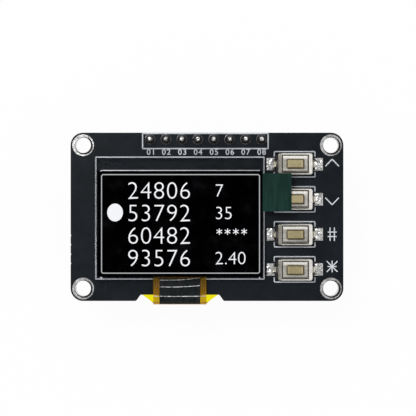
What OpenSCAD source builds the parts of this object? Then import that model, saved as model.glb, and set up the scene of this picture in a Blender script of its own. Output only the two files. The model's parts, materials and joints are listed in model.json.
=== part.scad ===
// Small OLED display module with four keys.
// The origin is the centre of the four mounting holes on the board's back face.
// +Z points out of the display's face, +Y to the header's edge and +X to the keys.

/* [Board] */
// Thickness of the circuit board
board_t = 1.6; // [1:0.1:2]
// Radius of the board's corners
board_corner_r = 2; // [1:0.1:2.3]
// From the board's left edge to the display panel
panel_margin = 4.12; // [4:0.01:8]
// From the key pads to the board's right edge
keys_margin = 3.24; // [2.5:0.01:8]
// From the board's upper edge to the row of header pins
header_inset = 1.05; // [1:0.01:2]
// From the row of header pins to the display panel
pins_to_panel = 2.97; // [2:0.01:6]
// From the display panel to the board's lower edge
panel_to_edge = 3.62; // [3:0.01:6]
// Depth of the nicks that the breakaway tab's drilled row left in the board's left edge
nick_depth = 0.07; // [0.03:0.01:0.2]
// Spacing of the nicks
nick_pitch = 1.5; // [1:0.1:2]

/* [Mounting holes] */
// Bore of a mounting eyelet
hole_d = 2.5; // [2:0.1:3]
// Outer diameter of an eyelet's tinned ring
ring_d = 3.5; // [3.3:0.1:4]
// From an eyelet's ring to the board's edges, and from the rings to the key pads
ring_margin = 0.25; // [0.2:0.01:1]
// Height of a tinned ring above the board
ring_h = 0.06; // [0.03:0.01:0.1]
// Thickness of the plating in a mounting hole
plating_t = 0.05; // [0.03:0.01:0.1]

/* [Header] */
// Number of header pins
pin_count = 8; // [6:1:9]
// Spacing of the header pins
pin_pitch = 2.54; // [2.2:0.01:2.54]
// Side of a square header pin
pin_w = 0.64; // [0.5:0.01:0.7]
// How far the pins stand above the board
pin_tip = 1.4; // [1.2:0.1:2]
// How far the pins stand below the plastic strip
pin_reach = 6; // [3:0.1:12]
// Height of the plastic strip
strip_h = 2.54; // [1.5:0.01:3]
// Width of the plastic strip
strip_w = 2.3; // [2:0.01:3]
// Shift of the pin row's middle from the board's middle
header_shift = -0.2; // [-2:0.1:2]
// Diameter of the pin holes in the board
pin_hole_d = 1; // [1:0.01:1.1]
// Diameter of a solder joint's foot
joint_d = 1.65; // [1.5:0.01:1.8]

/* [Display panel] */
// Width of the display panel
panel_w = 26.7; // [24:0.1:32]
// Height of the display panel
panel_h = 19.26; // [17:0.01:24]
// Thickness of the front glass
front_glass_t = 0.7; // [0.5:0.05:1]
// Thickness of the rear glass
rear_glass_t = 0.55; // [0.5:0.05:1]
// Thickness of the foam tape under the panel
tape_t = 0.2; // [0.1:0.05:0.5]
// Inset of the tape from the rear glass
tape_inset = 1; // [0.5:0.1:3]
// Width of the front glass's ledge below the rear glass
ledge_w = 3; // [2.6:0.1:4]
// Thickness of the polarizer
polarizer_t = 0.2; // [0.1:0.01:0.3]
// Inset of the polarizer from the glass's sides and lower edge
polarizer_inset = 0.35; // [0.1:0.01:1]
// Height of the clear strip above the polarizer
clear_strip_h = 2.03; // [1:0.01:4]

/* [Film and tab] */
// Thickness of the protective film
film_t = 0.05; // [0.03:0.01:0.1]
// Inset of the film from the polarizer
film_inset = 0.15; // [0.05:0.01:0.5]
// Width of the pull tab along the display's edge
tab_w = 6; // [4:0.1:8]
// Length of the pull tab from the display's edge
tab_len = 4.5; // [3:0.1:5]
// How far the pull tab laps over the display's edge
tab_lap = 0.2; // [0.05:0.01:0.3]
// Thickness of the pull tab
tab_t = 0.1; // [0.05:0.01:0.15]
// Height of the pull tab's middle above the middle of the keys
tab_shift = 3.86; // [2:0.01:5]
// Gap between the pull tab and the button under it
tab_gap = 0.05; // [0.03:0.01:0.2]

/* [Flex cable] */
// Width of the cable's neck
neck_w = 8.46; // [6:0.01:10]
// Thickness of the cable
flex_t = 0.1; // [0.08:0.01:0.12]
// Length of the cable's bond to the ledge
bond_len = 1; // [0.8:0.1:1.2]
// Height of the cable's waves
wave_h = 0.05; // [0.02:0.01:0.08]
// Gap between the board's notch and the cable's bend
bend_gap = 0.38; // [0.1:0.01:1]
// Width of the black cover on the neck
flex_cover_w = 6.47; // [4:0.01:8]
// Thickness of the black cover
flex_cover_t = 0.05; // [0.03:0.01:0.1]
// Number of solder joints on the cable's tail
tail_joints = 30; // [20:1:30]
// Spacing of the tail's solder joints
tail_pitch = 0.62; // [0.5:0.01:0.62]
// From the board's lower edge to the tail's end
tail_depth = 5.15; // [4.8:0.05:6]
// Width of the board's notch at its inner edge
notch_w = 12.3; // [11:0.1:14]
// Depth of the board's notch
notch_depth = 1; // [0.5:0.1:1.5]

/* [Keys] */
// Spacing of the keys
key_pitch = 5.6; // [5:0.1:7]
// Height of a key from the board to its button's top
key_h = 2.5; // [2.3:0.1:3.5]
// Travel of a button
key_travel = 0.25; // [0.15:0.01:0.28]
// Length of the base
base_len = 6; // [5.9:0.01:6.1]
// Length of the metal cover
cover_len = 5.4; // [5.2:0.01:5.6]
// Width of the metal cover
cover_w = 3.4; // [3.2:0.01:3.6]
// Height of the metal cover's plate above the board
cover_h = 1.75; // [1.7:0.01:1.9]
// Sheet thickness of the metal cover
cover_t = 0.15; // [0.1:0.01:0.18]
// Width of a cover's end tab
end_tab_w = 1; // [0.6:0.1:1.6]
// Length of the cover's raised platform
platform_len = 4.05; // [4:0.01:4.4]
// Width of the cover's raised platform
platform_w = 2.67; // [2.6:0.01:2.8]
// Rise of the platform above the cover's plate
platform_rise = 0.2; // [0.1:0.01:0.25]
// Length of the button
button_len = 2.66; // [2:0.01:2.9]
// Width of the button
button_w = 1.43; // [1:0.01:1.5]
// Clearance round the button in its window
button_gap = 0.06; // [0.04:0.01:0.1]
// Height of the flange that keeps the plunger in
flange_t = 0.35; // [0.3:0.01:0.38]
// Height of the plunger's stud above the dome
stud_h = 0.3; // [0.28:0.01:0.32]
// Diameter of the snap dome
dome_d = 2.4; // [2.2:0.01:2.5]
// Rise of the snap dome
dome_h = 0.36; // [0.34:0.01:0.4]
// Sheet thickness of the snap dome
dome_t = 0.06; // [0.04:0.01:0.08]
// Width of a terminal
lead_w = 0.8; // [0.6:0.01:1]
// Sheet thickness of a terminal
lead_t = 0.15; // [0.1:0.01:0.2]
// Length of a solder pad
pad_len = 1.51; // [1.2:0.01:1.8]
// Width of a solder pad
pad_w = 2.1; // [1.5:0.01:2.4]
// Gap between the display panel and the key pads
panel_to_pads = 0.42; // [0.3:0.01:2]

/* [Parts on the back] */
// Length of a chip resistor or capacitor
chip_len = 1.6; // [1.4:0.01:1.8]
// Width of a chip resistor or capacitor
chip_w = 0.8; // [0.6:0.01:1]
// Height of a chip capacitor
capacitor_h = 0.8; // [0.5:0.01:1]
// Height of a chip resistor
resistor_h = 0.45; // [0.3:0.01:0.6]
// Length of the regulator's body
regulator_len = 2.9; // [2.8:0.01:3.2]
// Height of the regulator's body
regulator_h = 1.1; // [0.9:0.01:1.3]

/* [Hidden] */
$fn = 64;
KEYS = ["up", "down", "hash", "star"];
KEY_PIECES = ["base", "dome", "plunger", "cover", "terminals", "solder"];

// Keys: lengths along the board that its width is worked out from
pad_gap = 0.05;
pad_reach = base_len / 2 + pad_gap + pad_len;

// Board
hole_inset = ring_d / 2 + ring_margin;
board_w = panel_margin + panel_w + panel_to_pads + 2 * pad_reach + keys_margin;
display_chain = header_inset + pins_to_panel + panel_h + panel_to_edge;
keys_chain = (len(KEYS) - 1) * key_pitch + pad_w + 2 * (hole_inset + ring_d / 2 + ring_margin);
board_h = max(display_chain, keys_chain);
nick_count = 4;
nick_d = 0.6;
nick_y = -2.95;
hole_x = board_w / 2 - hole_inset;
hole_y = board_h / 2 - hole_inset;

// Header
pin_row_y = board_h / 2 - header_inset;
pin_x = [for (i = [0:pin_count - 1]) header_shift + (i - (pin_count - 1) / 2) * pin_pitch];
fill_gap = 0.01;
strip_chamfer = 0.5;
pin_taper = 0.18;
pin_taper_h = 0.45;
joint_neck_d = 0.96;
joint_foot_h = 0.06;
joint_h = 0.95;

// Display panel, from the board outwards
panel_x = -board_w / 2 + panel_margin + panel_w / 2;
panel_top_y = pin_row_y - pins_to_panel;
panel_foot_y = panel_top_y - panel_h;
tape_z = board_t;
rear_glass_z = tape_z + tape_t;
front_glass_z = rear_glass_z + rear_glass_t;
polarizer_z = front_glass_z + front_glass_t;
film_z = polarizer_z + polarizer_t;
polarizer_w = panel_w - 2 * polarizer_inset;
polarizer_foot_y = panel_foot_y + polarizer_inset;
polarizer_top_y = panel_top_y - clear_strip_h;
glass_chamfer = 0.15;
driver_len = 11;
driver_w = 0.9;
driver_h = 0.3;
driver_gap = 0.4;

// Flex cable: it leaves the ledge, bends round the notch and lies on the board's back
notch_y = -board_h / 2 + notch_depth;
bend_y = notch_y - bend_gap;
bend_inner_r = (front_glass_z - flex_t) / 2;
bend_z = bend_inner_r;
tail_margin = 0.3;
tail_w = tail_joints * tail_pitch + 2 * tail_margin;
tail_y = -board_h / 2 + tail_depth;
flare_slope = 1.38;
flare_start = 0.02;
flare_y = bend_y - bend_inner_r + flare_start;
wave_steps = 36;
bend_steps = 24;
tail_joint_w = 0.36;
tail_joint_len = 1.1;
tail_joint_foot = 0.35;
tail_joint_h = 0.12;
cover_wrap = 61;

// Keys, each drawn about its own centre on the board's front face
key_x = panel_x + panel_w / 2 + panel_to_pads + pad_reach;
key_y = [for (i = [0:len(KEYS) - 1]) ((len(KEYS) - 1) / 2 - i) * key_pitch];
end_tab_reach = 0.135;
skirt_foot = 0.3;
cover_bend_r = 0.3;
cover_corner_r = 0.35;
platform_corner_r = 0.3;
window_corner_r = 0.18;
flange_corner_r = 0.25;
button_corner_r = 0.15;
platform_inset = 0.1;
groove_w = 0.14;
groove_d = 0.06;
slide_gap = 0.03;
dome_gap = 0.04;
flange_side = 0.27;
cover_inside = cover_h - cover_t;
flange_top = cover_inside + platform_rise - slide_gap;
flange_foot = flange_top - flange_t;
stud_foot = flange_foot - stud_h;
floor_z = stud_foot - dome_gap - dome_h;
slab_rim = 0.14;
slab_h = floor_z + slab_rim;
base_chamfer = 0.25;
body_chamfer = 0.35;
pocket_gap = 0.08;
dome_pocket_gap = 0.1;
stud_d = 1.2;
contact_rise = 0.06;
contact_d = 0.7;
contact_ring_d = 2.5;
contact_ring_w = 0.3;
contact_gap = 0.2;
lead_bend_r = 0.1;
lead_foot_end = 0.46;
solder_h = 0.28;
solder_rim = 0.03;
button_chamfer = 0.08;

// Pull tab
film_x = panel_x + panel_w / 2 - polarizer_inset - film_inset;
tab_x = panel_x + panel_w / 2 - tab_lap;
tab_flat_z = board_t + key_h + tab_gap;
tab_seat = 0.4;
tab_corner_r = 0.2;
tab_clearance = 0.1;
tab_rise_end = tab_lap + pad_reach + panel_to_pads - base_len / 2 - tab_clearance;
tab_steps = 16;

// Parts on the back: the middle of each, and its turn
capacitor_places = [[-11.5, 5.6, 90], [-8.9, 5.6, 90], [-1.2, 5.6, 0], [2.2, 5.6, 0], [2.2, 3.2, 0]];
resistor_places = [
    [-14.6, 1, 90], [-12.6, 1, 90], [-10.6, 1, 90], [-1.2, 3.2, 0], [5.6, 3.2, 90], [7.6, 3.2, 90]
];
regulator_place = [-5.2, 5.2];
diode_place = [-5.2, 0.8];
chip_end = 0.3;
chip_end_t = 0.03;
regulator_w = 1.3;
regulator_lead_pitch = 0.95;
diode_len = 1.7;
diode_w = 1.25;
diode_h = 0.95;
package_inset = 0.12;
package_corner_r = 0.05;
package_lift = 0.06;
gull_wing_t = 0.13;
regulator_lead_w = 0.4;
regulator_reach = 0.6;
diode_lead_w = 0.35;
diode_reach = 0.45;

// --- shared shapes ---

// Rectangle with round corners, centred
module rounded_rect(w, h, r) {
    square([w - 2 * r, h], center = true);
    square([w, h - 2 * r], center = true);
    for (x = [-1, 1])
        for (y = [-1, 1])
            translate([x * (w / 2 - r), y * (h / 2 - r)])
                circle(r);
}

// Rectangle with cut corners, centred
module cut_rect(w, h, c) {
    x = w / 2;
    y = h / 2;
    polygon([
        [-x, -y + c], [-x + c, -y], [x - c, -y], [x, -y + c],
        [x, y - c], [x - c, y], [-x + c, y], [-x, y - c]
    ]);
}

// Block from its foot at z = 0 whose four sides lean in by inset at the top
module leaning_block(l, w, h, inset, r) {
    intersection() {
        linear_extrude(h) rounded_rect(l, w, r);
        rotate([90, 0, 0])
            linear_extrude(w, center = true)
                polygon([[-l / 2, 0], [l / 2, 0], [l / 2 - inset, h], [-l / 2 + inset, h]]);
        rotate([90, 0, 90])
            linear_extrude(l, center = true)
                polygon([[-w / 2, 0], [w / 2, 0], [w / 2 - inset, h], [-w / 2 + inset, h]]);
    }
}

// Straight-sided block whose upper edges are cut by c
module eased_block(l, w, h, c, r) {
    linear_extrude(h - c) rounded_rect(l, w, r);
    translate([0, 0, h - c])
        leaning_block(l, w, c, c, r);
}

// Low pillow of solder on a pad: the cap of a ball, cut to the pad
module solder_pillow(l, w, h, rim) {
    corner = norm([l, w]) / 2;
    ball_r = (corner * corner + (h - rim) * (h - rim)) / (2 * (h - rim));
    intersection() {
        translate([-l / 2, -w / 2, 0]) cube([l, w, h]);
        translate([0, 0, h - ball_r]) sphere(ball_r, $fn = 192);
    }
}

// Mirrored copy beside the first
module both_ends() {
    children();
    mirror([1, 0, 0]) children();
}

// --- board ---

// Ramp of the notch's side, from 0 at its inner edge to 1 at the board's edge
function notch_ramp(t) = (1 - cos(180 * t)) / 2;
function notch_side(side) = [
    for (i = [0:12])
        let (t = side < 0 ? 1 - i / 12 : i / 12)
            [side * (notch_w / 2 + notch_depth * t), -notch_depth * notch_ramp(t)]
];

module notch_outline() {
    overcut = 0.5;
    half = notch_w / 2 + notch_depth;
    translate([panel_x, notch_y])
        polygon(concat(
            [[-half, -notch_depth - overcut]],
            notch_side(-1),
            notch_side(1),
            [[half, -notch_depth - overcut]]
        ));
}

// Nicks down the left edge, where the board was broken out of its panel
module edge_nicks() {
    for (i = [0:nick_count - 1])
        translate([-board_w / 2 + nick_depth - nick_d / 2, nick_y - i * nick_pitch])
            circle(d = nick_d);
}

module at_corners() {
    for (x = [-hole_x, hole_x])
        for (y = [-hole_y, hole_y])
            translate([x, y, 0]) children();
}

module circuit_board() {
    color([0.12, 0.13, 0.15])
        difference() {
            linear_extrude(board_t)
                difference() {
                    rounded_rect(board_w, board_h, board_corner_r);
                    notch_outline();
                    edge_nicks();
                }
            translate([0, 0, -1])
                at_corners()
                    cylinder(d = hole_d + 2 * plating_t, h = board_t + 2);
            for (x = pin_x)
                translate([x, pin_row_y, -1])
                    cylinder(d = pin_hole_d, h = board_t + 2);
        }
}

module mounting_eyelets() {
    bore_r = hole_d / 2;
    rim = ring_h / 2;
    color([0.78, 0.78, 0.76])
        at_corners()
            rotate_extrude()
                polygon([
                    [bore_r, -rim], [bore_r + rim, -ring_h], [ring_d / 2 - rim, -ring_h], [ring_d / 2, 0],
                    [bore_r + plating_t, 0], [bore_r + plating_t, board_t],
                    [ring_d / 2, board_t], [ring_d / 2 - rim, board_t + ring_h],
                    [bore_r + rim, board_t + ring_h], [bore_r, board_t + rim]
                ]);
}

// --- header ---

module header_strip() {
    color([0.08, 0.08, 0.08])
        translate([0, pin_row_y, -strip_h])
            difference() {
                for (x = pin_x)
                    translate([x, 0, 0])
                        linear_extrude(strip_h) cut_rect(pin_pitch, strip_w, strip_chamfer);
                for (x = pin_x)
                    translate([x, 0, strip_h / 2])
                        cube([pin_w, pin_w, strip_h + 2], center = true);
            }
}

// Side view of a pin with both tips tapered
module pin_outline() {
    foot = -strip_h - pin_reach;
    top = board_t + pin_tip;
    half = pin_w / 2;
    tip = half - pin_taper;
    polygon([
        [-tip, foot], [tip, foot], [half, foot + pin_taper_h], [half, top - pin_taper_h],
        [tip, top], [-tip, top], [-half, top - pin_taper_h], [-half, foot + pin_taper_h]
    ]);
}

module header_pin(x) {
    color([0.85, 0.83, 0.76])
        translate([x, pin_row_y, 0])
            intersection() {
                rotate([90, 0, 0]) linear_extrude(pin_w, center = true) pin_outline();
                rotate([90, 0, 90]) linear_extrude(pin_w, center = true) pin_outline();
            }
}

// Fillet of solder from the joint's foot up to its neck
function joint_curve() = [
    for (i = [0:10])
        let (a = 9 * i)
            [
                joint_neck_d / 2 + (joint_d - joint_neck_d) / 2 * (1 - sin(a)),
                board_t + joint_foot_h + (joint_h - joint_foot_h) * (1 - cos(a))
            ]
];

module header_solder() {
    barrel_r = pin_hole_d / 2 - fill_gap;
    color([0.62, 0.63, 0.62])
        for (x = pin_x)
            translate([x, pin_row_y, 0])
                difference() {
                    rotate_extrude()
                        polygon(concat(
                            [[0, 0], [barrel_r, 0], [barrel_r, board_t], [joint_d / 2, board_t]],
                            joint_curve(),
                            [[0, board_t + joint_h]]
                        ));
                    translate([0, 0, board_t / 2])
                        cube([pin_w, pin_w, 3 * board_t + 2 * joint_h], center = true);
                }
}

// --- display panel ---

module panel_tape() {
    w = panel_w - 2 * tape_inset;
    top = polarizer_top_y - tape_inset / 2;
    foot = panel_foot_y + ledge_w + tape_inset / 2;
    color([0.9, 0.9, 0.88])
        translate([panel_x - w / 2, foot, tape_z])
            cube([w, top - foot, tape_t]);
}

module rear_glass() {
    h = panel_h - ledge_w;
    color([0.5, 0.55, 0.58, 0.5])
        translate([panel_x, panel_top_y - h / 2, rear_glass_z])
            linear_extrude(rear_glass_t) cut_rect(panel_w, h, glass_chamfer);
}

module front_glass() {
    color([0.5, 0.55, 0.58, 0.5])
        translate([panel_x, panel_top_y - panel_h / 2, front_glass_z])
            linear_extrude(front_glass_t) cut_rect(panel_w, panel_h, glass_chamfer);
}

module polarizer() {
    h = polarizer_top_y - polarizer_foot_y;
    color([0.01, 0.01, 0.02])
        translate([panel_x, polarizer_foot_y + h / 2, polarizer_z])
            linear_extrude(polarizer_t) cut_rect(polarizer_w, h, glass_chamfer);
}

module driver_chip() {
    color([0.3, 0.3, 0.34])
        translate([panel_x - driver_len / 2, panel_foot_y + bond_len + driver_gap, front_glass_z - driver_h])
            cube([driver_len, driver_w, driver_h]);
}

// --- flex cable ---

// Height of the cable's waves along its free stretch from the panel to the bend
function wave(y) = -wave_h * sin(540 * (panel_foot_y - y) / (panel_foot_y - bend_y));
// Cable surface at the given height above its inner face: the free stretch, then the bend
function free_run(rise) = [
    for (i = [0:wave_steps])
        let (y = panel_foot_y + (bend_y - panel_foot_y) * i / wave_steps)
            [y, 2 * bend_inner_r + rise + wave(y)]
];
function bend_run(rise, last_angle) = [
    for (i = [1:bend_steps])
        let (a = last_angle * i / bend_steps)
            [bend_y - (bend_inner_r + rise) * sin(a), bend_z + (bend_inner_r + rise) * cos(a)]
];
function reversed(points) = [for (i = [len(points) - 1:-1:0]) points[i]];

module along_x(w) {
    translate([panel_x, 0, 0])
        rotate([90, 0, 90])
            linear_extrude(w, center = true) children();
}

module flex_side() {
    bond_y = panel_foot_y + bond_len;
    polygon(concat(
        [[bond_y, 2 * bend_inner_r], [bond_y, 2 * bend_inner_r + flex_t]],
        free_run(flex_t), bend_run(flex_t, 180),
        [[tail_y, -flex_t], [tail_y, 0]],
        reversed(bend_run(0, 180)), reversed(free_run(0))
    ));
}

// Outline of the cable's back half: the neck widens to the tail
module flare_outline() {
    neck = neck_w / 2;
    tail = tail_w / 2;
    wide_y = flare_y + (tail - neck) / flare_slope;
    fold_y = bend_y - bend_inner_r - flex_t - 1;
    translate([panel_x, 0])
        polygon([
            [-neck, fold_y], [neck, fold_y], [neck, flare_y], [tail, wide_y],
            [tail, tail_y], [-tail, tail_y], [-tail, wide_y], [-neck, flare_y]
        ]);
}

module flex_cable() {
    color([0.8, 0.6, 0.15])
        intersection() {
            along_x(tail_w + 1) flex_side();
            union() {
                translate([0, 0, -2 * flex_t])
                    linear_extrude(bend_z + 2 * flex_t) flare_outline();
                translate([panel_x - neck_w / 2, -board_h, bend_z])
                    cube([neck_w, board_h, 2 * board_t + 2]);
            }
        }
}

module flex_cover() {
    color([0.1, 0.1, 0.1])
        along_x(flex_cover_w)
            polygon(concat(
                free_run(flex_t + flex_cover_t), bend_run(flex_t + flex_cover_t, cover_wrap),
                reversed(bend_run(flex_t, cover_wrap)), reversed(free_run(flex_t))
            ));
}

module flex_solder() {
    start = -(tail_joints - 1) / 2 * tail_pitch;
    color([0.75, 0.75, 0.74])
        for (i = [0:tail_joints - 1])
            translate([start + i * tail_pitch, 0, 0])
                along_x(tail_joint_w)
                    polygon([
                        [tail_y, 0], [tail_y, -flex_t], [tail_y - tail_joint_len, -flex_t],
                        [tail_y - tail_joint_len + tail_joint_h, -flex_t - tail_joint_h],
                        [tail_y, -flex_t - tail_joint_h], [tail_y + tail_joint_foot, 0]
                    ]);
}

// --- film and tab ---

module protective_film() {
    w = polarizer_w - 2 * film_inset;
    top = polarizer_top_y - film_inset;
    foot = polarizer_foot_y + film_inset;
    tongue = tab_x + tab_seat - film_x;
    color([0.8, 0.85, 0.9, 0.3])
        translate([0, 0, film_z])
            linear_extrude(film_t) {
                translate([film_x - w / 2, (top + foot) / 2])
                    cut_rect(w, top - foot, 3 * film_inset);
                translate([film_x - film_inset, tab_shift - tab_w / 2])
                    square([tongue + film_inset, tab_w]);
            }
}

// Height of the tab's underside as it leaves the film and rises over the key
function tab_height(x) =
    let (t = max(0, min(1, (x - tab_seat) / (tab_rise_end - tab_seat))))
        film_z + film_t + (tab_flat_z - film_z - film_t) * (1 - cos(180 * t)) / 2;

module pull_tab() {
    rise = tab_rise_end - tab_seat;
    xs = concat([0], [for (i = [0:tab_steps]) tab_seat + rise * i / tab_steps], [tab_len]);
    color([0.11, 0.21, 0.18])
        intersection() {
            translate([tab_x, tab_shift, 0])
                rotate([90, 0, 0])
                    linear_extrude(tab_w, center = true)
                        polygon(concat(
                            [for (x = xs) [x, tab_height(x)]],
                            reversed([for (x = xs) [x, tab_height(x) + tab_t]])
                        ));
            translate([tab_x + tab_len / 2, tab_shift, 0])
                linear_extrude(2 * tab_flat_z) rounded_rect(tab_len, tab_w, tab_corner_r);
        }
}

// --- keys ---

module at_key(i) {
    translate([key_x, key_y[i], board_t]) children();
}

// Sheet bent up over a body: a flat top and two straight sides, as seen from an end
module arch(w, h, r) {
    translate([-w / 2, 0]) square([w, h - r]);
    translate([-w / 2 + r, 0]) square([w - 2 * r, h]);
    for (side = [-1, 1])
        translate([side * (w / 2 - r), h - r]) circle(r);
}

module arch_sheet(w, h, foot) {
    difference() {
        arch(w, h, cover_bend_r);
        arch(w - 2 * cover_t, h - cover_t, cover_bend_r - cover_t);
        translate([-w, -h]) square([2 * w, h + foot]);
    }
}

module quarter_ring(inner_r, t, turn) {
    rotate(turn)
        intersection() {
            difference() {
                circle(inner_r + t);
                circle(inner_r);
            }
            square(2 * (inner_r + t));
        }
}

// Side view of a terminal's lead: out through the base, down to the board and out along the pad
module lead_side(start) {
    leg_x = base_len / 2 + pad_gap;
    upper_x = leg_x - lead_bend_r;
    foot_x = leg_x + lead_t + lead_bend_r;
    bend_top = floor_z - lead_t - lead_bend_r;
    translate([start, floor_z - lead_t]) square([upper_x - start, lead_t]);
    translate([upper_x, bend_top]) quarter_ring(lead_bend_r, lead_t, 0);
    translate([leg_x, lead_t + lead_bend_r]) square([lead_t, bend_top - lead_t - lead_bend_r]);
    translate([foot_x, lead_t + lead_bend_r]) quarter_ring(lead_bend_r, lead_t, 180);
    translate([foot_x, 0]) square([pad_reach - lead_foot_end - foot_x, lead_t]);
}

module lead(start) {
    rotate([90, 0, 0]) linear_extrude(lead_w, center = true) lead_side(start);
}

module terminal_shapes() {
    ring_r = contact_ring_d / 2;
    // left terminal: an open ring that carries the dome's rim
    mirror([1, 0, 0]) lead(ring_r - contact_ring_w / 2);
    translate([0, 0, floor_z - lead_t])
        difference() {
            cylinder(r = ring_r, h = lead_t);
            translate([0, 0, -1]) cylinder(r = ring_r - contact_ring_w, h = lead_t + 2);
            translate([0, -lead_w / 2 - contact_gap, -1])
                cube([ring_r + 1, lead_w + 2 * contact_gap, lead_t + 2]);
        }
    // right terminal: a stud that the dome's middle meets
    lead(0);
    translate([0, 0, floor_z - lead_t])
        cylinder(d = contact_d, h = lead_t + contact_rise);
}

module key_base(i) {
    body_len = cover_len + 2 * end_tab_reach - 2 * cover_t - 2 * slide_gap;
    body_w = cover_w - 2 * cover_t - 2 * slide_gap;
    flange_len = button_len + 2 * flange_side;
    flange_w = button_w + 2 * flange_side;
    color([0.12, 0.11, 0.1])
        at_key(i)
            difference() {
                union() {
                    linear_extrude(slab_h) cut_rect(base_len, body_w, base_chamfer);
                    linear_extrude(cover_inside - slide_gap) cut_rect(body_len, body_w, body_chamfer);
                }
                translate([0, 0, floor_z])
                    cylinder(d = dome_d + 2 * dome_pocket_gap, h = key_h);
                translate([0, 0, flange_foot - key_travel - pocket_gap])
                    linear_extrude(key_h)
                        rounded_rect(
                            flange_len + 2 * pocket_gap, flange_w + 2 * pocket_gap,
                            flange_corner_r + pocket_gap
                        );
                terminal_shapes();
            }
}

module key_dome(i) {
    rim_r = dome_d / 2;
    ball_r = (rim_r * rim_r + dome_h * dome_h) / (2 * dome_h);
    color([0.75, 0.72, 0.6])
        at_key(i)
            intersection() {
                translate([0, 0, floor_z + dome_h - ball_r])
                    difference() {
                        sphere(ball_r);
                        sphere(ball_r - dome_t);
                    }
                translate([0, 0, floor_z]) cylinder(r = rim_r, h = dome_h + 1);
            }
}

module key_plunger(i) {
    color([0.62, 0.57, 0.44])
        at_key(i) {
            translate([0, 0, flange_foot])
                linear_extrude(flange_t)
                    rounded_rect(button_len + 2 * flange_side, button_w + 2 * flange_side, flange_corner_r);
            translate([0, 0, flange_foot])
                eased_block(button_len, button_w, key_h - flange_foot, button_chamfer, button_corner_r);
            translate([0, 0, stud_foot]) cylinder(d = stud_d, h = stud_h + flange_t);
        }
}

// The cover's plate, skirts and end tabs, with a pressed groove where the platform rises
module grooved_shell() {
    span = cover_len + 2 * end_tab_reach;
    difference() {
        union() {
            intersection() {
                rotate([90, 0, 90])
                    linear_extrude(cover_len, center = true)
                        arch_sheet(cover_w, cover_h, skirt_foot);
                linear_extrude(key_h) rounded_rect(cover_len, cover_w, cover_corner_r);
            }
            rotate([90, 0, 0])
                linear_extrude(end_tab_w, center = true)
                    arch_sheet(span, cover_h, slab_h + slide_gap);
        }
        translate([0, 0, cover_h - groove_d])
            linear_extrude(cover_h)
                rounded_rect(
                    platform_len + 2 * groove_w, platform_w + 2 * groove_w,
                    platform_corner_r + groove_w
                );
    }
}

module key_cover(i) {
    window_len = button_len + 2 * button_gap;
    window_w = button_w + 2 * button_gap;
    color([0.7, 0.69, 0.67])
        at_key(i)
            difference() {
                union() {
                    grooved_shell();
                    translate([0, 0, cover_inside])
                        leaning_block(
                            platform_len, platform_w,
                            cover_t + platform_rise, platform_inset, platform_corner_r
                        );
                }
                translate([0, 0, cover_inside - 1])
                    linear_extrude(1 + cover_t / 2)
                        rounded_rect(
                            platform_len - 2 * cover_t, platform_w - 2 * cover_t,
                            platform_corner_r - cover_t / 2
                        );
                translate([0, 0, cover_inside])
                    leaning_block(
                        platform_len - 2 * cover_t, platform_w - 2 * cover_t,
                        platform_rise, platform_inset, platform_corner_r - cover_t / 2
                    );
                linear_extrude(key_h) rounded_rect(window_len, window_w, window_corner_r);
            }
}

module key_terminals(i) {
    color([0.8, 0.78, 0.72])
        at_key(i) terminal_shapes();
}

module key_solder(i) {
    color([0.65, 0.66, 0.65])
        at_key(i)
            difference() {
                both_ends()
                    translate([pad_reach - pad_len / 2, 0, 0])
                        solder_pillow(pad_len, pad_w, solder_h, solder_rim);
                both_ends() lead(base_len / 2);
            }
}

// --- parts on the back, drawn hanging from the board's back face ---

module on_back(place, turn) {
    translate([place[0], place[1], 0])
        rotate([180, 0, turn]) children();
}

module chip_ends(h) {
    both_ends()
        translate([chip_len / 2 - chip_end, -chip_w / 2 - chip_end_t, 0])
            cube([chip_end, chip_w + 2 * chip_end_t, h + chip_end_t]);
}

module chip_core(h) {
    translate([-chip_len / 2 + chip_end, -chip_w / 2, chip_end_t])
        cube([chip_len - 2 * chip_end, chip_w, h - chip_end_t]);
}

module capacitor_bodies() {
    color([0.66, 0.55, 0.4])
        for (p = capacitor_places) on_back(p, p[2]) chip_core(capacitor_h);
}

module capacitor_ends() {
    color([0.8, 0.8, 0.78])
        for (p = capacitor_places) on_back(p, p[2]) chip_ends(capacitor_h);
}

module resistor_bodies() {
    color([0.07, 0.07, 0.08])
        for (p = resistor_places) on_back(p, p[2]) chip_core(resistor_h);
}

module resistor_ends() {
    color([0.8, 0.8, 0.78])
        for (p = resistor_places) on_back(p, p[2]) chip_ends(resistor_h);
}

// Moulded package: two halves that lean in from the parting line
module package(l, w, h) {
    half = (h - package_lift) / 2;
    translate([0, 0, package_lift + half])
        for (turn = [0, 180])
            rotate([turn, 0, 0]) leaning_block(l, w, half, package_inset, package_corner_r);
}

// Gull-wing lead from the middle of the package's side at y down to the board
module gull_wing(y, w, package_h, reach) {
    t = gull_wing_t;
    h = (package_h + package_lift + t) / 2;
    rotate([90, 0, 90])
        linear_extrude(w, center = true)
            polygon([
                [y, h], [y + reach / 2, h], [y + reach / 2 + t / 2, t], [y + reach, t],
                [y + reach, 0], [y + reach / 2 - t / 2, 0], [y + reach / 2 - t, h - t], [y, h - t]
            ]);
}

module regulator_body() {
    color([0.08, 0.08, 0.08])
        on_back(regulator_place, 0) package(regulator_len, regulator_w, regulator_h);
}

module regulator_leads() {
    color([0.8, 0.8, 0.78])
        on_back(regulator_place, 0) {
            for (x = [-regulator_lead_pitch, regulator_lead_pitch])
                translate([x, 0, 0])
                    gull_wing(regulator_w / 2, regulator_lead_w, regulator_h, regulator_reach);
            rotate(180) gull_wing(regulator_w / 2, regulator_lead_w, regulator_h, regulator_reach);
        }
}

module diode_body() {
    color([0.08, 0.08, 0.08])
        on_back(diode_place, 0) package(diode_len, diode_w, diode_h);
}

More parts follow.
